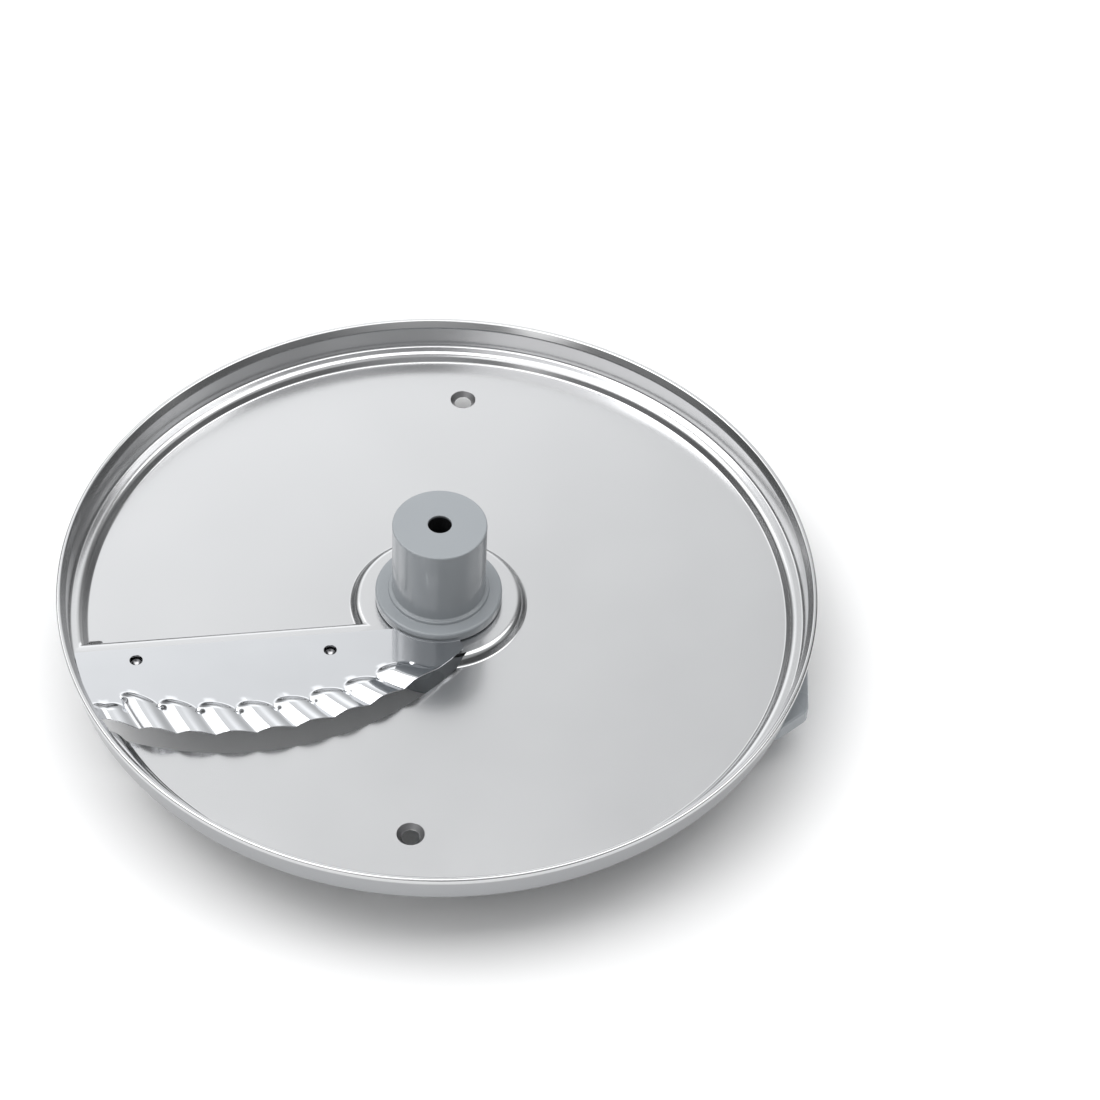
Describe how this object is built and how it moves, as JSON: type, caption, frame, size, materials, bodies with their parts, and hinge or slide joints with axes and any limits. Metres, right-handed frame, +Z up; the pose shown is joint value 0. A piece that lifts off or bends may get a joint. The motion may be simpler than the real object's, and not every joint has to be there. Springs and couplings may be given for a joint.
{
  "type": "ripple cut disc",
  "caption": "Round slicing disc with an upright rim, a rippled blade on a raised seat, a tall plastic hub and a winged ejector underneath.",
  "frame": {"origin": "on the hub's axis, at the level of the face that the disc rests on", "axes": "+Z up along the hub's axis; the blade's straight back edge runs along X on the -X side, and its cutting edge faces -Y"},
  "size_m": [0.175, 0.175, 0.0409],
  "materials": {
    "plate_steel": "satin pressed stainless steel",
    "blade_steel": "polished stainless steel",
    "hub_plastic": "semi-gloss grey moulding",
    "ejector_plastic": "semi-gloss grey moulding",
    "screw_steel": "plain stainless steel"
  },
  "bodies": {
    "root": {"disc_plate": "plate_steel", "ripple_blade": "blade_steel", "drive_hub": "hub_plastic", "ejector": "ejector_plastic", "blade_screw_1": "screw_steel", "blade_screw_2": "screw_steel", "hub_screw_1": "screw_steel", "hub_screw_2": "screw_steel", "hub_screw_3": "screw_steel"}
  },
  "joints": []
}
